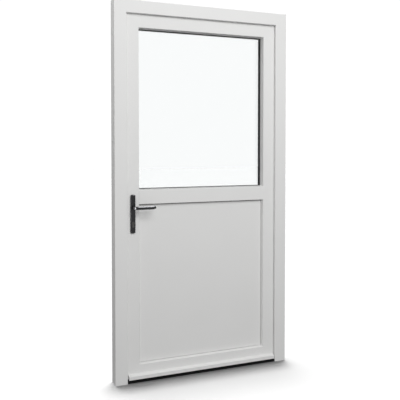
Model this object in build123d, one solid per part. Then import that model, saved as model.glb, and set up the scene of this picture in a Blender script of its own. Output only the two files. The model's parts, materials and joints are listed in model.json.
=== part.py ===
from build123d import *
import os
from math import cos, radians, sin

# Front door of welded plastic profiles: a leaf that opens inwards, glazed above and panelled below,
# in a frame with a low threshold. Millimetres. +X runs to the hinge side, +Y into the building, +Z up.
# The origin is on the threshold's underside, in the middle of the frame's width and depth.
# A section's "across" runs from the wall side of the frame towards the glass, its "depth" along +Y.

# Frame profile
door_width = 1060
door_height = 2100
frame_depth = 70
frame_face = 70
flange_thick = 15
rebate_width = 20
frame_arris_round = 4
frame_corner_round = 2
lug_groove_width = 8
lug_groove_deep = 4
lug_groove_inset = 12

# Fixing holes through the jambs, in two pairs
fixing_hole_r = 5.25
fixing_y = 4
fixing_end_inset = 190
fixing_inner_spacing = 560

# Leaf profile
leaf_recess = 20
leaf_depth = 70
leaf_overlap = 8
rim_reach = 8
rim_thick = 15
stile_face = 72.5
lip_run = 5
lip_depth = 31
glass_cover = 21
leaf_arris_round = 2.5
rim_round = 3
bottom_rail_top = 94
mid_rail_top = 1065
mid_rail_face = 78

# Glazing and panel
gasket_thick = 4
gasket_foot = 12
gasket_nose = 4
pane_thick = 4
pane_space = 16
pane_edge_gap = 5
spacer_width = 8
spacer_inset = 4
inner_gasket_thick = 3
bead_height = 20
bead_flat = 4
bead_crest = 10
panel_raise = 15
panel_joint = 1
panel_arris_round = 1.5

# Seals between leaf and frame
seal_width = 6
seal_setback = 2
seal_clear = 0.5
seal_foot_width = 3
seal_foot_deep = 3

# Threshold
threshold_height = 14
threshold_setback = 2
nose_depth = 25
tread_depth = 23
nose_drop = 3
nose_round = 1.5
tread_groove_pitch = 5
tread_groove_width = 1.5
tread_groove_deep = 0.8
tread_groove_count = 3
leaf_floor_gap = 6
bottom_seal_width = 8

# Weather bar on the bottom rail
bar_top_z = 46
bar_reach = 23
bar_drop = 7
bar_floor_gap = 5.5
bar_lock_gap = 7.5
bar_hinge_gap = 5.5
bar_round = 2
drip_width = 5
drip_deep = 3
drip_inset = 5
cap_thick = 2.5

# Handle plates, lever, spindle and cylinder
lever_backset = 43.5
lever_z = 970
plate_width = 28
plate_length = 212
plate_above_lever = 71
plate_thick = 9
plate_corner = 8
plate_edge_chamfer = 2
plate_bore_clear = 0.2
stub_r = 8
collar_r = 10.5
collar_thick = 4
lever_reach = 42
lever_length = 118
lever_height = 18
lever_thick = 12
lever_chamfer = 4
lever_tip_chamfer = 2.5
lever_bend_r = 17
return_bend_r = 36
return_angle = 30
return_lift = 50
spindle_side = 8
spindle_grip = 12
spindle_clear = 0.1
spindle_hole_r = 7.5
cylinder_drop = 85
cylinder_r = 8.5
cylinder_web = 10
cylinder_height = 33
cylinder_proud = 2.5
cylinder_clear = 0.3
cylinder_hole_clear = 1
key_slot_width = 2
key_slot_height = 9
key_slot_deep = 4

# Lock strip in the leaf's edge, its bolts, and the keeps on the jamb
strip_width = 16
strip_thick = 3
strip_length = 1640
strip_centre_z = 990
strip_corner = 6
strip_clear = 0.2
bolt_thick = 10
bolt_depth = 22
bolt_clear = 0.3
latch_height = 24
latch_raise = 10
dead_bolt_height = 36
hook_height = 44
hook_reach = 640
latch_nose = 6
keep_width = 24
keep_thick = 3
keep_corner = 4
keep_margin = 22
keep_window_clear = 2.5
keep_pocket_deep = 22

# Hinges on the inside
hinge_low_z = 230
hinge_top_inset = 220
hinge_upper_pitch = 550
hinge_height = 96
barrel_r = 8
hinge_pin_r = 4
pin_clear = 0.08
knuckle_gap = 0.5
barrel_off_rim = 6
barrel_off_leaf = 7
frame_flag_thick = 5
frame_flag_width = 32
leaf_flag_thick = 4
leaf_flag_width = 58
leaf_flag_inset = 4
flag_round = 5
pin_cap_thick = 3

# Places worked out from the sizes above
half_width = door_width / 2
frame_front = -frame_depth / 2
frame_back = frame_depth / 2
flange_back = frame_front + flange_thick
rebate_edge = frame_face - rebate_width
leaf_front = frame_front + leaf_recess
leaf_back = leaf_front + leaf_depth
leaf_middle = (leaf_front + leaf_back) / 2
leaf_edge = frame_face - leaf_overlap
rim_edge = rebate_edge - rim_reach
rim_front = leaf_back - rim_thick
glass_arris = frame_face + stile_face
lip_edge = glass_arris + lip_run
lip_back = leaf_front + lip_depth
rebate_floor = lip_edge - glass_cover
pane_front = lip_back + gasket_thick
pane_back = pane_front + 2 * pane_thick + pane_space
bead_front = pane_back + inner_gasket_thick
bead_edge = rebate_floor + bead_height
pane_edge = rebate_floor + pane_edge_gap
leaf_bottom = threshold_height + leaf_floor_gap
leaf_low = bottom_rail_top - glass_arris
glass_low = mid_rail_top - glass_arris
panel_high = mid_rail_top - mid_rail_face + glass_arris
leaf_edge_x = half_width - leaf_edge
lock_line = (leaf_front + rim_front) / 2
lever_x = lever_backset - leaf_edge_x
cylinder_z = lever_z - cylinder_drop
plate_front = leaf_front - plate_thick
hinge_x = half_width - rim_edge + barrel_off_rim + barrel_r
hinge_y = leaf_back + barrel_off_leaf
hinge_high_z = door_height - hinge_top_inset
hinge_heights = (hinge_low_z, hinge_high_z - hinge_upper_pitch, hinge_high_z)
far = 4 * frame_depth

ACROSS = {"left": (1, 0, 0), "right": (-1, 0, 0), "top": (0, 0, -1), "bottom": (0, 0, 1)}
parts = {}


def outline(points, rounds=()):
    """Closed outline through the points; rounds pairs a point with the radius of its corner."""
    face = make_face(Polyline(*points, close=True))
    for point, radius in rounds:
        corner = face.vertices().sort_by_distance((point[0], point[1], 0))[0]
        face = fillet(corner, radius)
    return face


def block(low, high):
    """Box between two opposite corners."""
    size = [b - a for a, b in zip(low, high)]
    centre = [(a + b) / 2 for a, b in zip(low, high)]
    return Pos(*centre) * Box(*size)


def bar(section, side, low, high, square_ends=()):
    """One side of a mitred ring of profile, between the heights low and high."""
    starts = {
        "left": (-half_width, 0, low),
        "right": (half_width, 0, high),
        "top": (-half_width, 0, high),
        "bottom": (half_width, 0, low),
    }
    length = high - low if side in ("left", "right") else door_width
    across = Vector(*ACROSS[side])
    along = across.cross(Vector(0, 1, 0))
    plane = Plane(origin=starts[side], x_dir=across, z_dir=along)
    body = extrude(plane * section, length)
    reach = half_width / 2
    first = -reach if "first" in square_ends else reach
    last = -reach if "last" in square_ends else reach
    mitre = [(-reach, -reach), (reach, first), (reach, length - last), (-reach, length + reach)]
    cutter_plane = Plane(origin=starts[side], x_dir=across, z_dir=(0, -1, 0))
    cutter = extrude(cutter_plane * outline(mitre), far, both=True)
    return body & cutter


def ring(section, low, high, sides=("left", "right", "top", "bottom")):
    """Mitred ring of profile, fused into one piece."""
    bars = [bar(section, side, low, high) for side in sides]
    return bars[0].fuse(*bars[1:]).clean()


def frame_section():
    groove_ends = []
    for start in (frame_front + lug_groove_inset, frame_back - lug_groove_inset - lug_groove_width):
        groove_ends += [
            (0, start),
            (lug_groove_deep, start),
            (lug_groove_deep, start + lug_groove_width),
            (0, start + lug_groove_width),
        ]
    points = [
        (0, frame_front),
        *groove_ends,
        (0, frame_back),
        (rebate_edge, frame_back),
        (rebate_edge, flange_back),
        (frame_face, flange_back),
        (frame_face, frame_front),
    ]
    rounds = [
        ((0, frame_front), frame_corner_round),
        ((frame_face, frame_front), frame_arris_round),
        ((rebate_edge, frame_back), frame_corner_round),
    ]
    groove = seal_foot(frame_face - seal_setback, flange_back - seal_foot_deep, flange_back)
    return outline(points, rounds) - groove


def seal_foot(edge, front, back):
    """Groove or tongue that holds a seal, centred under the seal's width."""
    middle = edge - seal_width / 2
    half = seal_foot_width / 2
    return outline([(middle - half, front), (middle + half, front), (middle + half, back), (middle - half, back)])


def seal_section(edge, root, tip, foot):
    """Round-backed seal from its root to its tip, with a tongue down to foot."""
    near = edge - seal_width
    rise = tip - root
    points = [(near, root), (edge, root), (edge, root + rise / 2), (near, root + rise / 2)]
    middle = (edge - seal_width / 2, tip)
    crown = make_face(
        ThreePointArc((near, root + rise / 2), middle, (edge, root + rise / 2))
        + Line((edge, root + rise / 2), (near, root + rise / 2))
    )
    tongue = seal_foot(edge, min(root, foot), max(root, foot))
    return outline(points) + crown + tongue


def leaf_section():
    points = [
        (leaf_edge, leaf_front),
        (glass_arris, leaf_front),
        (lip_edge, lip_back),
        (rebate_floor, lip_back),
        (rebate_floor, leaf_back),
        (rim_edge, leaf_back),
        (rim_edge, rim_front),
        (leaf_edge, rim_front),
    ]
    rounds = [
        ((glass_arris, leaf_front), leaf_arris_round),
        ((rim_edge, leaf_back), rim_round),
    ]
    groove = seal_foot(rim_edge + seal_setback + seal_width, rim_front, rim_front + seal_foot_deep)
    return outline(points, rounds) - groove


def mid_rail_section():
    """T profile with a glazing rebate above and below; across runs up."""
    top = glass_low
    low = panel_high
    points = [
        (low - glass_arris, leaf_front),
        (top + glass_arris, leaf_front),
        (top + lip_edge, lip_back),
        (top + rebate_floor, lip_back),
        (top + rebate_floor, leaf_back),
        (low - rebate_floor, leaf_back),
        (low - rebate_floor, lip_back),
        (low - lip_edge, lip_back),
    ]
    rounds = [
        ((low - glass_arris, leaf_front), leaf_arris_round),
        ((top + glass_arris, leaf_front), leaf_arris_round),
    ]
    return outline(points, rounds)


def stile_lip():
    """Front of the stile's profile seen from above, where the mid rail's end is coped over it."""
    return outline([
        (leaf_edge, leaf_front),
        (glass_arris, leaf_front),
        (lip_edge, lip_back),
        (leaf_edge, lip_back),
    ])


def outer_gasket_section(nose):
    return outline([
        (lip_edge - gasket_foot, lip_back),
        (lip_edge, lip_back),
        (lip_edge + nose, (lip_back + pane_front) / 2),
        (lip_edge + nose, pane_front),
        (lip_edge - gasket_foot, pane_front),
    ])


def inner_gasket_section():
    return outline([
        (bead_edge - gasket_foot, pane_back),
        (bead_edge + inner_gasket_thick, pane_back),
        (bead_edge, bead_front),
        (bead_edge - gasket_foot, bead_front),
    ])


def bead_section():
    points = [
        (rebate_floor, bead_front),
        (bead_edge, bead_front),
        (bead_edge, bead_front + bead_flat),
        (rebate_floor + bead_crest, leaf_back),
        (rebate_floor, leaf_back),
    ]
    return outline(points, [((rebate_floor + bead_crest, leaf_back), bead_flat)])


def opening(edge, low, high, front, back):
    """Flat sheet that fills a ring up to the given distance across."""
    return block((edge - half_width, front, low + edge), (half_width - edge, back, high - edge))


def along_x(section, start, end):
    """Section given as y and z, drawn from start to end along X."""
    plane = Plane(origin=(start, 0, 0), x_dir=(0, 1, 0), z_dir=(1, 0, 0))
    return extrude(plane * section, end - start)


def turned_y(radius, front, back, x, z):
    """Round bar along Y."""
    return Pos(x, (front + back) / 2, z) * Rot(90, 0, 0) * Cylinder(radius, back - front)


def turned_z(radius, low, high, x, y):
    """Round bar along Z."""
    return Pos(x, y, (low + high) / 2) * Cylinder(radius, high - low)


def cylinder_body(clear, front, back):
    """Lock cylinder: a round barrel over a narrow web with a round foot."""
    foot_r = cylinder_web / 2
    foot_drop = cylinder_height - cylinder_r - foot_r
    barrel = turned_y(cylinder_r + clear, front, back, lever_x, cylinder_z)
    web_half = foot_r + clear
    web = block(
        (lever_x - web_half, front, cylinder_z - foot_drop),
        (lever_x + web_half, back, cylinder_z),
    )
    foot = turned_y(web_half, front, back, lever_x, cylinder_z - foot_drop)
    return barrel + web + foot


# Frame: jambs, head and their seal
def build_frame():
    section = frame_section()
    lock = bar(section, "left", 0, door_height, ("first",))
    hinge = bar(section, "right", 0, door_height, ("last",))
    head = bar(section, "top", 0, door_height)
    for spacing in (door_height - 2 * fixing_end_inset, fixing_inner_spacing):
        for z in ((door_height - spacing) / 2, (door_height + spacing) / 2):
            drill = Pos(0, fixing_y, z) * Rot(0, 90, 0) * Cylinder(fixing_hole_r, 2 * door_width)
            lock -= drill
            hinge -= drill
    for low, high in bolt_spans():
        lock -= keep_window(low, high, rebate_edge - keep_pocket_deep, rebate_edge)
    parts["lock_jamb"] = lock
    parts["hinge_jamb"] = hinge
    parts["frame_head"] = head
    seal = seal_section(
        frame_face - seal_setback, flange_back, leaf_front - seal_clear, flange_back - seal_foot_deep
    )
    sides = [
        bar(seal, "left", 0, door_height, ("first",)),
        bar(seal, "top", 0, door_height),
        bar(seal, "right", 0, door_height, ("last",)),
    ]
    whole = sides[0].fuse(*sides[1:]).clean()
    parts["frame_seal"] = whole - block((-half_width, frame_front, 0), (half_width, frame_back, threshold_height))


# Threshold: outer nose, insulating core and inner tread, side by side
def build_threshold():
    nose_front = frame_front + threshold_setback
    nose_back = nose_front + nose_depth
    tread_front = frame_back - tread_depth
    nose = [
        (nose_front, 0),
        (nose_back, 0),
        (nose_back, threshold_height),
        (nose_front, threshold_height - nose_drop),
    ]
    core = [
        (nose_back, 0),
        (tread_front, 0),
        (tread_front, threshold_height),
        (nose_back, threshold_height),
    ]
    tread = [
        (tread_front, 0),
        (frame_back, 0),
        (frame_back, threshold_height),
        (tread_front, threshold_height),
    ]
    wide = half_width - rebate_edge
    shoulder = block((half_width - frame_face, frame_front, 0), (half_width, flange_back, threshold_height))
    shoulder += mirror(shoulder, about=Plane.YZ)
    tread_bar = along_x(outline(tread), -wide, wide)
    groove_start = tread_front + (tread_depth - (tread_groove_count - 1) * tread_groove_pitch) / 2
    for number in range(tread_groove_count):
        y = groove_start + number * tread_groove_pitch
        tread_bar -= block(
            (-wide, y - tread_groove_width / 2, threshold_height - tread_groove_deep),
            (wide, y + tread_groove_width / 2, threshold_height),
        )
    nose_section = outline(nose, [(nose[-1], nose_round)])
    parts["threshold_nose"] = along_x(nose_section, -wide, wide) - shoulder
    parts["threshold_core"] = along_x(outline(core), -wide, wide)
    parts["threshold_tread"] = tread_bar


# Leaf: stiles, rails, panes, panel, beads and gaskets
def build_leaf():
    section = leaf_section()
    below = block((-door_width, -far, leaf_low - far), (door_width, far, leaf_bottom))
    lock = bar(section, "left", leaf_low, door_height) - below
    hinge = bar(section, "right", leaf_low, door_height) - below
    lower = bar(section, "bottom", leaf_low, door_height) - below
    rail_plane = Plane(origin=(0, 0, 0), x_dir=(0, 0, 1), z_dir=(-1, 0, 0))
    plan_plane = Plane(origin=(-half_width, 0, mid_rail_top - mid_rail_face / 2))
    mid_half = extrude(rail_plane * mid_rail_section(), half_width - rebate_floor)
    mid_half -= extrude(plan_plane * stile_lip(), mid_rail_face, both=True)
    lock -= turned_y(spindle_hole_r, leaf_front, leaf_back, lever_x, lever_z)
    lock -= cylinder_body(cylinder_hole_clear, leaf_front, leaf_back)
    lock -= strip_body(strip_clear)
    for low, high in bolt_spans():
        lock -= bolt_body(low, high, bolt_clear)
    seal_slot = block(
        (-half_width, leaf_middle - seal_foot_width / 2, leaf_bottom),
        (half_width, leaf_middle + seal_foot_width / 2, leaf_bottom + seal_foot_deep),
    )
    parts["lock_stile"] = lock
    parts["hinge_stile"] = hinge
    parts["top_rail"] = bar(section, "top", leaf_low, door_height)
    parts["mid_rail"] = (mid_half + mirror(mid_half, about=Plane.YZ)).clean()
    parts["bottom_rail"] = lower - seal_slot

    space_front = pane_front + pane_thick
    space_back = space_front + pane_space
    parts["outer_pane"] = opening(pane_edge, glass_low, door_height, pane_front, space_front)
    parts["inner_pane"] = opening(pane_edge, glass_low, door_height, space_back, pane_back)
    spacer_edge = pane_edge + spacer_inset
    outer = opening(spacer_edge, glass_low, door_height, space_front, space_back)
    inner = opening(spacer_edge + spacer_width, glass_low, door_height, space_front, space_back)
    parts["pane_spacer"] = outer - inner

    core = opening(pane_edge, leaf_low, panel_high, pane_front, pane_back)
    raised = opening(lip_edge + panel_joint, leaf_low, panel_high, pane_front - panel_raise, pane_front)
    face = raised.faces().sort_by(Axis.Y)[0]
    parts["lower_panel"] = core + fillet(face.edges(), panel_arris_round)

    for name, low, high in (("glass", glass_low, door_height), ("panel", leaf_low, panel_high)):
        nose = gasket_nose if name == "glass" else panel_joint - seal_clear
        parts[name + "_outer_gasket"] = ring(outer_gasket_section(nose), low, high)
        parts[name + "_inner_gasket"] = ring(inner_gasket_section(), low, high)
        for side in ACROSS:
            parts[name + "_bead_" + side] = bar(bead_section(), side, low, high)

    rim_seal_edge = rim_edge + seal_setback + seal_width
    seal = seal_section(rim_seal_edge, rim_front, frame_back + seal_clear, rim_front + seal_foot_deep)
    parts["leaf_seal"] = ring(seal, leaf_low, door_height, ("left", "top", "right")) - below
    foot = block(
        (-rail_seal_end(), leaf_middle - seal_foot_width / 2, leaf_bottom),
        (rail_seal_end(), leaf_middle + seal_foot_width / 2, leaf_bottom + seal_foot_deep),
    )
    lips = block(
        (-rail_seal_end(), leaf_middle - bottom_seal_width / 2, threshold_height + seal_clear),
        (rail_seal_end(), leaf_middle + bottom_seal_width / 2, leaf_bottom),
    )
    parts["bottom_seal"] = foot + lips


def rail_seal_end():
    """Half length of the seal under the bottom rail: its mitres end it there."""
    return half_width - glass_arris + bottom_rail_top - leaf_bottom - seal_foot_deep


# Weather bar: a drip profile with two end caps
def build_weather_bar():
    front = leaf_front - bar_reach
    low = threshold_height + bar_floor_gap
    points = [
        (leaf_front, low),
        (leaf_front, bar_top_z),
        (front, bar_top_z - bar_drop),
        (front, low),
        (front + drip_inset, low),
        (front + drip_inset, low + drip_deep),
        (front + drip_inset + drip_width, low + drip_deep),
        (front + drip_inset + drip_width, low),
    ]
    rounds = [((front, bar_top_z - bar_drop), bar_round)]
    section = outline(points, rounds)
    start = frame_face - half_width + bar_lock_gap
    end = half_width - frame_face - bar_hinge_gap
    parts["weather_bar"] = along_x(section, start + cap_thick, end - cap_thick)
    solid = outline([points[0], points[1], points[2], points[3]], rounds)
    caps = [along_x(solid, start, start + cap_thick), along_x(solid, end - cap_thick, end)]
    parts["weather_bar_caps"] = Compound(children=caps)


# Handle plates, levers on one spindle, and the lock cylinder
def build_handle():
    plate_high = lever_z + plate_above_lever
    plate_low = plate_high - plate_length
    middle = (plate_low + plate_high) / 2
    plane = Plane(origin=(lever_x, leaf_front, middle), x_dir=(1, 0, 0), z_dir=(0, -1, 0))
    plate = extrude(plane * RectangleRounded(plate_width, plate_length, plate_corner), plate_thick)
    plate = chamfer(plate.faces().sort_by(Axis.Y)[0].edges(), plate_edge_chamfer)
    plate -= turned_y(stub_r + plate_bore_clear, plate_front, leaf_front, lever_x, lever_z)
    plate -= cylinder_body(cylinder_clear, plate_front, leaf_front)
    lever = outside_lever()
    across_leaf = Plane(origin=(0, leaf_middle, 0), z_dir=(0, 1, 0))
    parts["outside_plate"] = plate
    parts["inside_plate"] = mirror(plate, about=across_leaf)
    parts["outside_lever"] = lever
    parts["inside_lever"] = mirror(lever, about=across_leaf)
    half = spindle_side / 2
    reach = leaf_middle - plate_front + spindle_grip
    parts["lever_spindle"] = block(
        (lever_x - half, leaf_middle - reach, lever_z - half),
        (lever_x + half, leaf_middle + reach, lever_z + half),
    )
    ends = plate_thick + cylinder_proud
    cylinder = cylinder_body(0, leaf_front - ends, leaf_back + ends)
    for outer, inner in (
        (leaf_front - ends, leaf_front - ends + key_slot_deep),
        (leaf_back + ends - key_slot_deep, leaf_back + ends),
    ):
        cylinder -= block(
            (lever_x - key_slot_width / 2, outer, cylinder_z - key_slot_height / 2),
            (lever_x + key_slot_width / 2, inner, cylinder_z + key_slot_height / 2),
        )
    parts["lock_cylinder"] = cylinder


def lever_section():
    """Upright bar of the lever with its four long edges chamfered."""
    corners = []
    for across, up in ((1, 1), (-1, 1), (-1, -1), (1, -1)):
        side = (across * lever_thick / 2, up * (lever_height / 2 - lever_chamfer))
        end = (across * (lever_thick / 2 - lever_chamfer), up * lever_height / 2)
        corners += [side, end] if across == up else [end, side]
    return outline(corners)


def outside_lever():
    """Lever: a neck out of the plate, a bend, the grip, and a tip that turns up and back to the door."""
    section = lever_section()
    root = Vector(lever_x, plate_front - plate_bore_clear, lever_z)
    neck_end = Vector(lever_x, plate_front - lever_reach + lever_bend_r, lever_z)
    grip_start = neck_end + Vector(lever_bend_r, -lever_bend_r, 0)
    turn = radians(return_angle)
    grip_length = lever_length - lever_bend_r - return_bend_r * sin(turn) - lever_tip_chamfer
    grip_end = grip_start + Vector(grip_length, 0, 0)
    lift = radians(return_lift)
    bend_axis = Axis(neck_end + Vector(lever_bend_r, 0, 0), (0, 0, 1))
    return_centre = grip_end + Vector(0, cos(lift), sin(lift)) * return_bend_r
    return_axis = Axis(return_centre, (0, -sin(lift), cos(lift)))
    grip_plane = Plane(origin=grip_start, x_dir=(0, 1, 0), z_dir=(1, 0, 0))
    end_plane = Plane(origin=grip_end, x_dir=(0, 1, 0), z_dir=(1, 0, 0))

    neck = extrude(Plane(origin=root, x_dir=(1, 0, 0), z_dir=(0, -1, 0)) * section, root.Y - neck_end.Y)
    bend = revolve(Plane(origin=neck_end, x_dir=(1, 0, 0), z_dir=(0, -1, 0)) * section, bend_axis, 90)
    grip = extrude(grip_plane * section, grip_length)
    turned_tip = revolve(end_plane * section, return_axis, return_angle)
    tip_face = (end_plane * section).rotate(return_axis, return_angle)
    tip_end = extrude(tip_face, lever_tip_chamfer, taper=45)
    collar = turned_y(collar_r, plate_front - collar_thick, root.Y, lever_x, lever_z)
    stub = turned_y(stub_r, plate_front - collar_thick, leaf_front - plate_bore_clear, lever_x, lever_z)
    socket_half = spindle_side / 2 + spindle_clear
    socket = block(
        (lever_x - socket_half, plate_front - spindle_grip - spindle_clear, lever_z - socket_half),
        (lever_x + socket_half, leaf_front, lever_z + socket_half),
    )
    return neck + bend + grip + turned_tip + tip_end + collar + stub - socket


# Lock strip, bolts and keeps
def bolt_spans():
    """Heights of the latch, the dead bolt and the two hook bolts."""
    latch_low = lever_z + latch_raise - latch_height / 2
    dead_low = cylinder_z - dead_bolt_height / 2
    spans = [(latch_low, latch_low + latch_height), (dead_low, dead_low + dead_bolt_height)]
    for z in (lever_z - hook_reach, lever_z + hook_reach):
        spans.append((z - hook_height / 2, z + hook_height / 2))
    return spans


def strip_body(clear):
    low = strip_centre_z - strip_length / 2 - clear
    high = strip_centre_z + strip_length / 2 + clear
    half = strip_width / 2 + clear
    strip = block((-leaf_edge_x, lock_line - half, low), (strip_thick - leaf_edge_x, lock_line + half, high))
    return fillet(strip.edges().filter_by(Axis.X), strip_corner + clear)


def bolt_body(low, high, clear):
    half = bolt_thick / 2 + clear
    return block(
        (-leaf_edge_x, lock_line - half, low - clear),
        (bolt_depth + clear - leaf_edge_x, lock_line + half, high + clear),
    )


def keep_window(low, high, start, end):
    """Opening for one bolt, between two distances across the jamb."""
    half = bolt_thick / 2 + keep_window_clear
    return block(
        (start - half_width, lock_line - half, low - keep_window_clear),
        (end - half_width, lock_line + half, high + keep_window_clear),
    )


def build_lock():
    spans = bolt_spans()
    strip = strip_body(0)
    bolts = []
    for low, high in spans:
        strip -= bolt_body(low, high, bolt_clear)
        bolts.append(bolt_body(low, high, 0))
    front = lock_line - bolt_thick / 2
    nose = [
        (-leaf_edge_x, front),
        (latch_nose - leaf_edge_x, front),
        (-leaf_edge_x, front + bolt_thick),
    ]
    latch_low, latch_high = spans[0]
    cut = Pos(0, 0, latch_low) * extrude(outline(nose), latch_high - latch_low)
    bolts[0] -= cut
    parts["lock_strip"] = strip
    parts["lock_bolts"] = Compound(children=bolts)
    latch, dead, low_hook, high_hook = spans
    keeps = []
    for group in ((dead, latch), (low_hook,), (high_hook,)):
        low = group[0][0] - keep_margin
        high = group[-1][1] + keep_margin
        start = rebate_edge - half_width
        keep = block(
            (start, lock_line - keep_width / 2, low),
            (start + keep_thick, lock_line + keep_width / 2, high),
        )
        keep = fillet(keep.edges().filter_by(Axis.X), keep_corner)
        for span in group:
            keep -= keep_window(*span, rebate_edge, rebate_edge + keep_thick)
        keeps.append(keep)
    parts["lock_keeps"] = Compound(children=keeps)


# Hinges: a flag on the frame, a flag on the leaf and a capped pin
def build_hinges():
    frame_flags = []
    leaf_flags = []
    pins = []
    knuckle = (hinge_height - 2 * knuckle_gap) / 3
    for centre in hinge_heights:
        low = centre - hinge_height / 2
        high = centre + hinge_height / 2
        mid_low = low + knuckle + knuckle_gap
        mid_high = mid_low + knuckle
        frame_flags.append(frame_flag(low, high, mid_low, mid_high))
        leaf_flags.append(leaf_flag(low, high, ((low, low + knuckle), (high - knuckle, high))))
        pin = turned_z(hinge_pin_r, low - knuckle_gap, high + knuckle_gap, hinge_x, hinge_y)
        for start in (low - knuckle_gap - pin_cap_thick, high + knuckle_gap):
            pin += turned_z(barrel_r, start, start + pin_cap_thick, hinge_x, hinge_y)
        pins.append(pin)
    parts["hinge_frame_flags"] = Compound(children=frame_flags)
    parts["hinge_leaf_flags"] = Compound(children=leaf_flags)
    parts["hinge_pins"] = Compound(children=pins)


def frame_flag(low, high, mid_low, mid_high):
    start = hinge_x - barrel_r
    plate = block((start, frame_back, low), (start + frame_flag_width, frame_back + frame_flag_thick, high))
    far_edges = plate.edges().filter_by(Axis.Y).group_by(Axis.X)[-1]
    plate = fillet(far_edges, flag_round)
    web = block((start, frame_back, mid_low), (hinge_x + barrel_r, hinge_y, mid_high))
    barrel = turned_z(barrel_r, mid_low, mid_high, hinge_x, hinge_y)
    return plate + web + barrel - turned_z(hinge_pin_r + pin_clear, low, high, hinge_x, hinge_y)


def leaf_flag(low, high, knuckles):
    end = half_width - rim_edge - leaf_flag_inset
    plate = block((end - leaf_flag_width, leaf_back, low), (end, leaf_back + leaf_flag_thick, high))
    far_edges = plate.edges().filter_by(Axis.Y).group_by(Axis.X)[0]
    flag = fillet(far_edges, flag_round)
    gusset = [
        (end, leaf_back),
        (hinge_x, leaf_back),
        (hinge_x, hinge_y + barrel_r),
        (end, leaf_back + leaf_flag_thick),
    ]
    for start, stop in knuckles:
        flag += Pos(0, 0, start) * extrude(outline(gusset), stop - start)
        flag += turned_z(barrel_r, start, stop, hinge_x, hinge_y)
    return flag - turned_z(hinge_pin_r + pin_clear, low, high, hinge_x, hinge_y)


build_frame()
build_threshold()
build_leaf()
build_weather_bar()
build_handle()
build_lock()
build_hinges()

os.makedirs("parts", exist_ok=True)
for name, shape in parts.items():
    export_step(shape, os.path.join("parts", name + ".step"))
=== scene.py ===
import json
import math

import bmesh
import bpy
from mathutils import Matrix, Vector
from mathutils.bvhtree import BVHTree


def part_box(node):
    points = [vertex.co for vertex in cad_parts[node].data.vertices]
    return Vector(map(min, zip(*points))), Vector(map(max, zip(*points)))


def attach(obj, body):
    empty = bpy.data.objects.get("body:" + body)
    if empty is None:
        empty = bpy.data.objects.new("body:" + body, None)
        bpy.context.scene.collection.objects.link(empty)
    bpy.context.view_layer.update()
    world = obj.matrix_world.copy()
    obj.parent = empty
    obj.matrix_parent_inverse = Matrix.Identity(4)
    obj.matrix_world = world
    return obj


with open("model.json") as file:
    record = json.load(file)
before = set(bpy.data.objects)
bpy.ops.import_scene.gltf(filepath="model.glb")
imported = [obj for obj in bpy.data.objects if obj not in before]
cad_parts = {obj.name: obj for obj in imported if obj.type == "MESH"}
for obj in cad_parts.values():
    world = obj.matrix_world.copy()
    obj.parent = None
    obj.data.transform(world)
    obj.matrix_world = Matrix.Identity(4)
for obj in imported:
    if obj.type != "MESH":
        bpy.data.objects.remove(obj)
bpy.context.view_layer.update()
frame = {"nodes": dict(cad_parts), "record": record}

MM = 0.001
nodes = frame["nodes"]
scene = bpy.context.scene


# Materials

def linear(hex_colour):
    """Linear RGBA of an sRGB hex colour."""
    channels = [int(hex_colour[i:i + 2], 16) / 255 for i in (1, 3, 5)]
    return [c / 12.92 if c <= 0.04045 else ((c + 0.055) / 1.055) ** 2.4 for c in channels] + [1.0]


def per_metre(size_mm):
    """Texture scale that makes one feature of the pattern this many millimetres wide."""
    return 1 / (size_mm * MM)


def even(size_mm):
    """The same size along X, Y and Z."""
    return (size_mm, size_mm, size_mm)


def add(tree, kind, values=None, links=None, **settings):
    """Adds a node with its settings, its input values and the outputs that feed its inputs."""
    made = tree.nodes.new(kind)
    for name, value in settings.items():
        setattr(made, name, value)
    for name, value in (values or {}).items():
        made.inputs[name].default_value = value
    for name, output in (links or {}).items():
        tree.links.new(output, made.inputs[name])
    return made


def new_material(name, colour, **sockets):
    """Material whose shader has this base colour and these even values on its own sockets."""
    material = bpy.data.materials.new(name)
    material.use_nodes = True
    shader = material.node_tree.nodes["Principled BSDF"]
    shader.inputs["Base Color"].default_value = linear(colour)
    for socket, value in sockets.items():
        shader.inputs[socket.replace("_", " ")].default_value = value
    return material, material.node_tree, shader


def stretched_noise(tree, size_mm, detail=2.0):
    """Noise whose features are this wide along X, Y and Z."""
    place = add(tree, "ShaderNodeTexCoord")
    scale = add(tree, "ShaderNodeMapping", {"Scale": [per_metre(s) for s in size_mm]},
                {"Vector": place.outputs["Object"]})
    return add(tree, "ShaderNodeTexNoise", {"Scale": 1.0, "Detail": detail},
               {"Vector": scale.outputs["Vector"]})


def spread(tree, shader, socket, source, low, high):
    """Feeds a socket from a pattern, between two values or two colours."""
    if socket == "Base Color":
        ramp = add(tree, "ShaderNodeValToRGB", links={"Fac": source})
        ramp.color_ramp.elements[0].color = linear(low)
        ramp.color_ramp.elements[1].color = linear(high)
        tree.links.new(ramp.outputs["Color"], shader.inputs[socket])
        return
    ranged = add(tree, "ShaderNodeMapRange", {"To Min": low, "To Max": high}, {"Value": source})
    tree.links.new(ranged.outputs["Result"], shader.inputs[socket])


def bump(tree, shader, source, height_mm, strength):
    """Raises the surface by a pattern, by at most this height."""
    made = add(tree, "ShaderNodeBump", {"Distance": height_mm * MM, "Strength": strength},
               {"Height": source})
    tree.links.new(made.outputs["Normal"], shader.inputs["Normal"])


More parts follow.
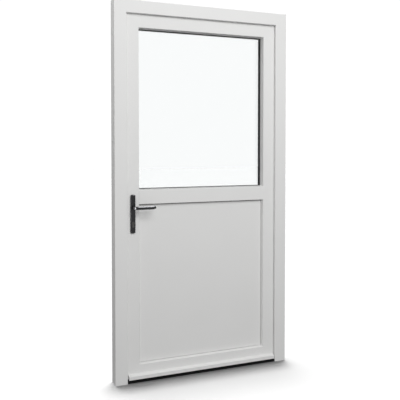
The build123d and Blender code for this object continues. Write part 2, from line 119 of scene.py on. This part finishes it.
def extruded_white_pvc(name, drawn_along):
    # Unplasticised PVC drawn through a polished die: neutral white, a soft satin gloss, and faint lines
    # along the bar that only show where light grazes it. The lines are drawn wider than real ones.
    material, tree, shader = new_material(name, "#F2F2F1", IOR=1.53, Roughness=0.53)
    die_line_mm = 2.5
    line_length_mm = 900
    cloud_mm = 160
    size = [die_line_mm] * 3
    size["XYZ".index(drawn_along)] = line_length_mm
    lines = stretched_noise(tree, size)
    cloud = stretched_noise(tree, even(cloud_mm))
    spread(tree, shader, "Roughness", lines.outputs["Fac"], 0.48, 0.58)
    spread(tree, shader, "Base Color", cloud.outputs["Fac"], "#F1F1F0", "#F4F4F3")
    bump(tree, shader, lines.outputs["Fac"], height_mm=0.02, strength=0.25)
    return material


def pressed_white_skin():
    # Thermoformed acrylic-capped sheet glued to a foam core: the flattest white on the door, with a very
    # long, shallow unevenness that bends reflections a little.
    material, tree, shader = new_material("pressed_white_panel_skin", "#F2F2F1", IOR=1.49, Roughness=0.5)
    swell_mm = 220
    grain_mm = 1.2
    swell = stretched_noise(tree, even(swell_mm), detail=1.0)
    grain = stretched_noise(tree, even(grain_mm))
    spread(tree, shader, "Roughness", grain.outputs["Fac"], 0.46, 0.54)
    spread(tree, shader, "Base Color", swell.outputs["Fac"], "#F1F1F0", "#F4F4F3")
    bump(tree, shader, swell.outputs["Fac"], height_mm=0.25, strength=0.2)
    return material


def moulded_white_trim():
    # Co-extruded PVC trim with moulded caps: shinier than the profiles, with a fine mould grain.
    material, tree, shader = new_material("moulded_white_trim", "#F2F2F1", IOR=1.53, Roughness=0.3)
    grain_mm = (40, 1.5, 1.5)
    grain = stretched_noise(tree, grain_mm)
    spread(tree, shader, "Roughness", grain.outputs["Fac"], 0.26, 0.36)
    spread(tree, shader, "Base Color", grain.outputs["Fac"], "#F1F1F0", "#F4F4F3")
    bump(tree, shader, grain.outputs["Fac"], height_mm=0.015, strength=0.3)
    return material


def white_powder_coat():
    # Polyester powder baked on steel hinges: white with the dimples of orange peel, about 2 mm apart.
    material, tree, shader = new_material("white_powder_coat", "#EFEFED", IOR=1.5, Roughness=0.38)
    peel_mm = 2.2
    peel = stretched_noise(tree, even(peel_mm), detail=1.0)
    spread(tree, shader, "Roughness", peel.outputs["Fac"], 0.34, 0.44)
    spread(tree, shader, "Base Color", peel.outputs["Fac"], "#ECECEA", "#F2F2F0")
    bump(tree, shader, peel.outputs["Fac"], height_mm=0.06, strength=0.5)
    return material


def black_anodised_aluminium():
    # Dyed anodic film on an extruded nose: near black, with a dull metal sheen along the drawn lines.
    material, tree, shader = new_material("black_anodised_aluminium", "#141415",
                                          Metallic=0.6, Roughness=0.42)
    line_mm = (700, 1.2, 1.2)
    lines = stretched_noise(tree, line_mm)
    spread(tree, shader, "Roughness", lines.outputs["Fac"], 0.36, 0.52)
    spread(tree, shader, "Base Color", lines.outputs["Fac"], "#0F0F10", "#1A1A1B")
    return material


def reinforced_black_plastic():
    # Glass-filled polyamide: matt black with short paler fibres in the skin.
    material, tree, shader = new_material("glass_filled_black_plastic", "#17171A",
                                          IOR=1.53, Roughness=0.6)
    fibre_mm = (14, 0.8, 0.8)
    fibres = stretched_noise(tree, fibre_mm, detail=3.0)
    spread(tree, shader, "Roughness", fibres.outputs["Fac"], 0.52, 0.7)
    spread(tree, shader, "Base Color", fibres.outputs["Fac"], "#121214", "#202023")
    bump(tree, shader, fibres.outputs["Fac"], height_mm=0.03, strength=0.4)
    return material


def clear_anodised_tread():
    # Clear-anodised extruded aluminium: pale grey metal with straight drawn lines along the tread.
    material, tree, shader = new_material("clear_anodised_aluminium", "#C9CACC",
                                          Metallic=1.0, Roughness=0.36)
    line_mm = (600, 0.9, 0.9)
    lines = stretched_noise(tree, line_mm)
    spread(tree, shader, "Roughness", lines.outputs["Fac"], 0.28, 0.48)
    spread(tree, shader, "Base Color", lines.outputs["Fac"], "#BDBEC0", "#D4D5D6")
    bump(tree, shader, lines.outputs["Fac"], height_mm=0.015, strength=0.4)
    return material


def extruded_rubber(name, dark, pale):
    # Extruded seal rubber: soft, matt, and slightly bloomed, so its tone drifts along its length.
    material, tree, shader = new_material(name, dark, IOR=1.52, Roughness=0.7)
    bloom_mm = 60
    bloom = stretched_noise(tree, even(bloom_mm), detail=3.0)
    spread(tree, shader, "Roughness", bloom.outputs["Fac"], 0.62, 0.8)
    spread(tree, shader, "Base Color", bloom.outputs["Fac"], dark, pale)
    return material


def float_glass():
    # Clear float glass: nearly colourless face on, polished, with the faintest drift in its draw.
    material, tree, shader = new_material(
        "clear_float_glass", "#FBFCFC", IOR=1.52, Roughness=0.0, Transmission_Weight=1.0
    )
    draw_mm = 400
    draw = stretched_noise(tree, even(draw_mm), detail=1.0)
    bump(tree, shader, draw.outputs["Fac"], height_mm=0.05, strength=0.05)
    return material


def warm_edge_spacer():
    # Dark polymer-faced spacer bar: matt, with a grain that stands for its tiny breather pores.
    material, tree, shader = new_material("dark_spacer_bar", "#26272A", IOR=1.5, Roughness=0.55)
    pore_mm = 2
    pores = stretched_noise(tree, even(pore_mm))
    spread(tree, shader, "Roughness", pores.outputs["Fac"], 0.48, 0.66)
    spread(tree, shader, "Base Color", pores.outputs["Fac"], "#1F2023", "#2E2F32")
    return material


def polished_dark_nickel():
    # Die-cast handle with a polished dark nickel plating: it mirrors what is round it, so its upright
    # faces stay near black and its upper edges catch the light, with fine polishing marks.
    material, tree, shader = new_material("polished_dark_nickel", "#5C5C5E", Metallic=1.0, Roughness=0.2)
    mark_mm = (1.0, 1.0, 30)
    marks = stretched_noise(tree, mark_mm)
    spread(tree, shader, "Roughness", marks.outputs["Fac"], 0.17, 0.26)
    spread(tree, shader, "Base Color", marks.outputs["Fac"], "#565658", "#626264")
    bump(tree, shader, marks.outputs["Fac"], height_mm=0.006, strength=0.3)
    return material


def satin_nickel():
    # Satin nickel on brass: a warm grey metal, brushed to a soft sheen.
    material, tree, shader = new_material("satin_nickel_plating", "#868582",
                                          Metallic=1.0, Roughness=0.34)
    brush_mm = (0.8, 12, 0.8)
    brushing = stretched_noise(tree, brush_mm)
    spread(tree, shader, "Roughness", brushing.outputs["Fac"], 0.28, 0.44)
    spread(tree, shader, "Base Color", brushing.outputs["Fac"], "#7E7D7A", "#8F8E8B")
    return material


def zinc_plated_steel():
    # Bright zinc on pressed steel: a bluish grey metal with the blotchy spangle of the plating.
    material, tree, shader = new_material("bright_zinc_plating", "#B4B6B9", Metallic=1.0, Roughness=0.35)
    spangle_mm = 9
    spangle = stretched_noise(tree, even(spangle_mm), detail=3.0)
    spread(tree, shader, "Roughness", spangle.outputs["Fac"], 0.26, 0.46)
    spread(tree, shader, "Base Color", spangle.outputs["Fac"], "#A6A8AC", "#C0C2C5")
    bump(tree, shader, spangle.outputs["Fac"], height_mm=0.01, strength=0.4)
    return material


upright_pvc = extruded_white_pvc("extruded_white_pvc_upright", "Z")
level_pvc = extruded_white_pvc("extruded_white_pvc_level", "X")
zinc = zinc_plated_steel()
nickel = satin_nickel()
finishes = {
    "white_panel": pressed_white_skin(),
    "white_trim": moulded_white_trim(),
    "hinge_coating": white_powder_coat(),
    "black_anodised": black_anodised_aluminium(),
    "black_core": reinforced_black_plastic(),
    "tread_aluminium": clear_anodised_tread(),
    "black_rubber": extruded_rubber("black_seal_rubber", "#323233", "#3C3C3D"),
    "grey_rubber": extruded_rubber("grey_seal_rubber", "#8C8D8E", "#959697"),
    "clear_glass": float_glass(),
    "spacer": warm_edge_spacer(),
    "dark_metal": polished_dark_nickel(),
    "cylinder_metal": nickel,
    "plated_steel": zinc,
}
LEVEL_BARS = ("frame_head", "top_rail", "mid_rail", "bottom_rail", "_bead_top", "_bead_bottom")

# The white profiles have no finish of their own here: each takes the one drawn along its length.
for part in frame["record"]["subparts"]:
    name = part["node"]
    profile = level_pvc if name.endswith(LEVEL_BARS) else upright_pvc
    finish = finishes.get(part["material_slot"], profile)
    for slot in nodes[name].material_slots:
        slot.material = finish


# Screws, made once by nodes and set on points

HEAD_SIDES = 24
RIM_SHARE = 0.72
RECESS_WIDTH_SHARE = 0.28
RECESS_LENGTH_SHARE = 1.1


def screw_tree():
    """Node tree that sets a cross-recess screw head on each point, standing along its facing."""
    tree = bpy.data.node_groups.new("screw_heads", "GeometryNodeTree")
    tree.interface.new_socket("Geometry", in_out="INPUT", socket_type="NodeSocketGeometry")
    tree.interface.new_socket("Geometry", in_out="OUTPUT", socket_type="NodeSocketGeometry")
    for name in ("Head Radius", "Head Height", "Recess Width", "Recess Length"):
        tree.interface.new_socket(name, in_out="INPUT", socket_type="NodeSocketFloat")
    tree.interface.new_socket("Finish", in_out="INPUT", socket_type="NodeSocketMaterial")
    given = add(tree, "NodeGroupInput").outputs
    rim = add(tree, "ShaderNodeMath", {1: RIM_SHARE}, {0: given["Head Radius"]}, operation="MULTIPLY")
    head = add(tree, "GeometryNodeMeshCone",
               {"Vertices": HEAD_SIDES, "Side Segments": 1, "Fill Segments": 1},
               {"Radius Top": rim.outputs[0], "Radius Bottom": given["Head Radius"],
                "Depth": given["Head Height"]})
    long_bar = add(tree, "ShaderNodeCombineXYZ", links={
        "X": given["Recess Length"], "Y": given["Recess Width"], "Z": given["Head Height"]})
    cross_bar = add(tree, "ShaderNodeCombineXYZ", links={
        "X": given["Recess Width"], "Y": given["Recess Length"], "Z": given["Head Height"]})
    lift = add(tree, "ShaderNodeCombineXYZ", links={"Z": given["Head Height"]})
    # Each bar is a cutter of its own: crossing bars joined in one mesh would cut the whole head away.
    cut = add(tree, "GeometryNodeMeshBoolean", links={"Mesh 1": head.outputs["Mesh"]},
              operation="DIFFERENCE", solver="EXACT")
    for size in (long_bar, cross_bar):
        cube = add(tree, "GeometryNodeMeshCube", links={"Size": size.outputs[0]})
        raised = add(tree, "GeometryNodeTransform", links={
            "Geometry": cube.outputs["Mesh"], "Translation": lift.outputs[0]})
        tree.links.new(raised.outputs["Geometry"], cut.inputs["Mesh 2"])
    facing = add(tree, "GeometryNodeInputNamedAttribute", {"Name": "facing"}, data_type="FLOAT_VECTOR")
    turn = add(tree, "FunctionNodeAlignRotationToVector",
               links={"Vector": facing.outputs["Attribute"]}, axis="Z")
    placed = add(tree, "GeometryNodeInstanceOnPoints", links={
        "Points": given["Geometry"], "Instance": cut.outputs["Mesh"],
        "Rotation": turn.outputs["Rotation"]})
    real = add(tree, "GeometryNodeRealizeInstances", links={"Geometry": placed.outputs["Instances"]})
    faced = add(tree, "GeometryNodeSetMaterial", links={
        "Geometry": real.outputs["Geometry"], "Material": given["Finish"]})
    add(tree, "NodeGroupOutput", links={"Geometry": faced.outputs["Geometry"]})
    return tree


def seated(host, spots):
    """The (place, facing) spots, moved along their facing onto the surface of a node."""
    solid = bmesh.new()
    solid.from_mesh(nodes[host].data)
    surface = BVHTree.FromBMesh(solid)
    solid.free()
    stand_off = 30 * MM
    return [(surface.ray_cast(Vector(place) + stand_off * facing, -facing)[0], facing)
            for place, facing in spots]


def set_screws(name, host, body, finish, head_mm, spots):
    """Screw heads of one radius and height at (place, facing) spots on a node, as one plain mesh."""
    radius, height = head_mm
    spots = seated(host, spots)
    points = bpy.data.meshes.new(name + "_points")
    points.from_pydata([place for place, _ in spots], [], [])
    facing = points.attributes.new("facing", "FLOAT_VECTOR", "POINT")
    for number, (_, way) in enumerate(spots):
        facing.data[number].vector = way
    maker = bpy.data.objects.new(name + "_maker", points)
    scene.collection.objects.link(maker)
    modifier = maker.modifiers.new("screw_heads", "NODES")
    modifier.node_group = screws
    sizes = {
        "Head Radius": radius * MM,
        "Head Height": height * MM,
        "Recess Width": RECESS_WIDTH_SHARE * radius * MM,
        "Recess Length": RECESS_LENGTH_SHARE * radius * MM,
        "Finish": finish,
    }
    for item in screws.interface.items_tree:
        if item.in_out == "INPUT" and item.name in sizes:
            modifier[item.identifier] = sizes[item.name]
    result = maker.evaluated_get(bpy.context.evaluated_depsgraph_get())
    mesh = bpy.data.meshes.new_from_object(result)
    maker.modifiers.remove(modifier)
    bpy.data.objects.remove(maker)
    mesh.name = name
    piece = bpy.data.objects.new(name, mesh)
    scene.collection.objects.link(piece)
    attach(piece, body)


def spans(node):
    """Lowest and highest corners of each separate solid of a node, from the bottom up."""
    mesh = bmesh.new()
    mesh.from_mesh(nodes[node].data)
    same_point = 0.01 * MM
    bmesh.ops.remove_doubles(mesh, verts=mesh.verts, dist=same_point)
    left = set(mesh.verts)
    found = []
    while left:
        front = [left.pop()]
        solid = list(front)
        while front:
            for edge in front.pop().link_edges:
                for vert in edge.verts:
                    if vert in left:
                        left.remove(vert)
                        front.append(vert)
                        solid.append(vert)
        corners = list(zip(*(vert.co for vert in solid)))
        found.append((Vector([min(c) for c in corners]), Vector([max(c) for c in corners])))
    mesh.free()
    return sorted(found, key=lambda pair: pair[0].z)


screws = screw_tree()
IN = Vector((0, 1, 0))
TO_HINGE = Vector((1, 0, 0))
TO_LOCK = Vector((-1, 0, 0))

# Radius and height of each kind of head
PLATE_HEAD_MM = (3.6, 1.0)
HINGE_HEAD_MM = (4.2, 1.2)
KEEP_HEAD_MM = (3.4, 0.8)
STRIP_HEAD_MM = (3.0, 0.6)

plate_low, plate_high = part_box("inside_plate")
plate_middle = (plate_low.x + plate_high.x) / 2
plate_end = 12 * MM
plate_spots = [((plate_middle, plate_high.y, z), IN)
               for z in (plate_low.z + plate_end, plate_high.z - plate_end)]
set_screws("inside_plate_screws", "inside_plate", "leaf", zinc, PLATE_HEAD_MM,
           plate_spots)

leaf_flag_columns = (11 * MM, 44 * MM)
leaf_flag_end = 16.5 * MM
flag_spots = []
for low, high in spans("hinge_leaf_flags"):
    for column in leaf_flag_columns:
        for z in (low.z + leaf_flag_end, high.z - leaf_flag_end):
            flag_spots.append(((low.x + column, high.y, z), IN))
set_screws("hinge_leaf_screws", "hinge_leaf_flags", "leaf", zinc, HINGE_HEAD_MM,
           flag_spots)

frame_flag_side = 8.8 * MM
frame_flag_end = 11 * MM
frame_spots = []
for low, high in spans("hinge_frame_flags"):
    for z in (low.z + frame_flag_end, (low.z + high.z) / 2, high.z - frame_flag_end):
        frame_spots.append(((high.x - frame_flag_side, high.y, z), IN))
set_screws("hinge_frame_screws", "hinge_frame_flags", "frame", zinc, HINGE_HEAD_MM,
           frame_spots)

keep_end = 11 * MM
keep_spots = []
for low, high in spans("lock_keeps"):
    for z in (low.z + keep_end, high.z - keep_end):
        keep_spots.append(((high.x, (low.y + high.y) / 2, z), TO_HINGE))
set_screws("keep_screws", "lock_keeps", "frame", zinc, KEEP_HEAD_MM, keep_spots)

# The strip is held at its ends, beside each bolt, and once more in each long run between them.
strip_low, strip_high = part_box("lock_strip")
strip_middle = (strip_low.y + strip_high.y) / 2
strip_end = 11 * MM
beside_bolt = 16 * MM
longest_run = 400 * MM
strip_heights = [strip_low.z + strip_end, strip_high.z - strip_end]
for low, high in spans("lock_bolts"):
    strip_heights += [low.z - beside_bolt, high.z + beside_bolt]
strip_heights.sort()
for under, over in zip(strip_heights[:-1], strip_heights[1:]):
    if over - under > longest_run:
        strip_heights.append((under + over) / 2)
strip_spots = [((strip_low.x, strip_middle, z), TO_LOCK) for z in strip_heights]
set_screws("lock_strip_screws", "lock_strip", "leaf", zinc, STRIP_HEAD_MM, strip_spots)


# Seam round the turning plug at each end of the lock cylinder

def plug_seam():
    """Fine raised ring on both end faces of the cylinder, round the plug that takes the key."""
    low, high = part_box("lock_cylinder")
    plug_share = 0.72
    half_width_mm = 0.45
    height_mm = 0.35
    steps = 40
    barrel_mm = (high.x - low.x) / 2 / MM
    seam_mm = plug_share * barrel_mm
    centre_x = (low.x + high.x) / 2
    centre_z = high.z - barrel_mm * MM
    section = ((-half_width_mm, 0.0), (0.0, height_mm), (half_width_mm, 0.0))
    mesh = bmesh.new()
    for y, way in ((low.y, -1), (high.y, 1)):
        loops = []
        for step in range(steps):
            angle = 2 * math.pi * step / steps
            loop = []
            for out_mm, up_mm in section:
                r = (seam_mm + out_mm) * MM
                loop.append(mesh.verts.new((
                    centre_x + r * math.cos(angle),
                    y + way * up_mm * MM,
                    centre_z + r * math.sin(angle),
                )))
            loops.append(loop)
        for step in range(steps):
            here, there = loops[step], loops[(step + 1) % steps]
            for k in range(len(section)):
                after = (k + 1) % len(section)
                mesh.faces.new((here[k], here[after], there[after], there[k]))
    bmesh.ops.recalc_face_normals(mesh, faces=mesh.faces)
    data = bpy.data.meshes.new("cylinder_plug_seams")
    mesh.to_mesh(data)
    mesh.free()
    data.materials.append(nickel)
    piece = bpy.data.objects.new("cylinder_plug_seams", data)
    scene.collection.objects.link(piece)
    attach(piece, "leaf")


plug_seam()


# Floor, light and camera

def studio_floor():
    """Pale floor that shows the door's shadow; it throws no light or reflection back at the door."""
    half = 30.0
    corners = [(-half, -half, 0), (half, -half, 0), (half, half, 0), (-half, half, 0)]
    data = bpy.data.meshes.new("studio_floor")
    data.from_pydata(corners, [], [(0, 1, 2, 3)])
    material, _, _ = new_material("white_studio_floor", "#C0C0C0", Roughness=0.9, Specular_IOR_Level=0.0)
    data.materials.append(material)
    floor = bpy.data.objects.new("studio_floor", data)
    floor.visible_diffuse = False
    floor.visible_glossy = False
    scene.collection.objects.link(floor)
    return floor


def lamp(name, data, place, aim, pieces, alone):
    """Sets a lamp and says whether it lights these pieces alone or everything but them."""
    made = bpy.data.objects.new(name, data)
    made.location = place
    made.rotation_euler = (Vector(aim) - Vector(place)).to_track_quat("-Z", "Y").to_euler()
    made.visible_camera = False
    made.visible_transmission = False
    scene.collection.objects.link(made)
    lit = bpy.data.collections.new(name + "_lights")
    for piece in pieces:
        lit.objects.link(piece)
    for entry in lit.collection_objects:
        entry.light_linking.link_state = "INCLUDE" if alone else "EXCLUDE"
    made.light_linking.receiver_collection = lit
    return made


def softbox(name, place, aim, size, watts, pieces, alone=False, mirrored=True):
    """Rectangular lamp; one that isn't mirrored leaves no bright patch in the glass."""
    data = bpy.data.lights.new(name, "AREA")
    data.shape = "RECTANGLE"
    data.size, data.size_y = size
    data.energy = watts
    lamp(name, data, place, aim, pieces, alone).visible_glossy = mirrored


def floor_glow(name, from_behind_deg, from_right_deg, spread_deg, strength, floor):
    """Light down on the floor alone, so tilted that the shadow falls to the front and a little left."""
    data = bpy.data.lights.new(name, "SUN")
    data.angle = math.radians(spread_deg)
    data.energy = strength
    height = 4.0
    behind = height * math.tan(math.radians(from_behind_deg))
    right = height * math.tan(math.radians(from_right_deg))
    lamp(name, data, (right, behind, height), (0.0, 0.0, 0.0), [floor], alone=True)


def studio_backdrop(seen, above, level, below):
    """White backdrop for the camera and through the glass; the light it sheds is dimmer towards below."""
    world = bpy.data.worlds.new("white_studio")
    world.use_nodes = True
    tree = world.node_tree
    out = tree.nodes["World Output"]
    backdrop = tree.nodes["Background"]
    backdrop.inputs["Color"].default_value = (1, 1, 1, 1)
    backdrop.inputs["Strength"].default_value = seen
    place = add(tree, "ShaderNodeTexCoord")
    height = add(tree, "ShaderNodeSeparateXYZ", links={"Vector": place.outputs["Generated"]})
    share = add(tree, "ShaderNodeMapRange", {"From Min": -1.0, "From Max": 1.0},
                {"Value": height.outputs["Z"]})
    ramp = add(tree, "ShaderNodeValToRGB", links={"Fac": share.outputs["Result"]})
    steps = ramp.color_ramp.elements
    horizon = 0.5
    steps.new(horizon)
    for step, strength in zip(steps, (below, level, above)):
        step.color = (strength, strength, strength, 1)
    glow = add(tree, "ShaderNodeBackground", links={"Color": ramp.outputs["Color"]})
    path = add(tree, "ShaderNodeLightPath")
    through = add(tree, "ShaderNodeMath", operation="MAXIMUM", links={
        0: path.outputs["Is Camera Ray"], 1: path.outputs["Is Transmission Ray"]})
    mix = add(tree, "ShaderNodeMixShader", links={
        0: through.outputs[0], 1: glow.outputs[0], 2: backdrop.outputs[0]})
    tree.links.new(mix.outputs[0], out.inputs["Surface"])
    scene.world = world


def viewpoint():
    """Camera left of the door and above the handle, looking slightly down, as fitted to the photo."""
    tilt_down_deg = 1.699
    turn_right_deg = 22.561
    data = bpy.data.cameras.new("viewpoint")
    data.lens = 53.973
    data.sensor_width = 36.0
    data.shift_y = -0.09
    camera = bpy.data.objects.new("viewpoint", data)
    camera.location = (-1.3442, -3.1936, 1.3074)
    camera.rotation_euler = (math.radians(90 - tilt_down_deg), 0, math.radians(-turn_right_deg))
    scene.collection.objects.link(camera)
    scene.camera = camera


floor = studio_floor()
HANDLE_NODES = ("outside_lever", "inside_lever", "outside_plate", "inside_plate", "lock_cylinder")
handle_pieces = [nodes[name] for name in HANDLE_NODES]
studio_backdrop(seen=1.05, above=0.38, level=0.32, below=0.18)
softbox("front_softbox", place=(0.1, -3.3, 3.1), aim=(0.0, 0.0, 1.2), size=(2.6, 2.2), watts=86,
        pieces=[floor], mirrored=False)
softbox("left_softbox", place=(-2.2, 0.1, 3.4), aim=(-0.53, 0.0, 1.5), size=(1.2, 1.6), watts=21,
        pieces=[floor])
softbox("rear_softbox", place=(0.6, 3.4, 3.0), aim=(0.0, 0.0, 1.2), size=(2.0, 1.8), watts=45,
        pieces=[floor])
# Two cards that the dark handle mirrors: one along its upper edges, one on the lever's neck.
softbox("handle_top_card", place=(0.97, -0.42, 4.2), aim=(0.9, -0.4, 1.0), size=(0.9, 0.9), watts=26,
        pieces=handle_pieces, alone=True)
softbox("handle_left_card", place=(-2.3, -0.6, 0.9), aim=(-0.43, -0.05, 0.97), size=(1.2, 0.9), watts=26,
        pieces=handle_pieces, alone=True)
floor_glow("contact_glow", from_behind_deg=2.5, from_right_deg=1.0, spread_deg=4.2, strength=2.9,
           floor=floor)
floor_glow("wide_glow", from_behind_deg=7.5, from_right_deg=0.6, spread_deg=14.0, strength=2.3,
           floor=floor)
viewpoint()
scene.view_settings.view_transform = "Standard"
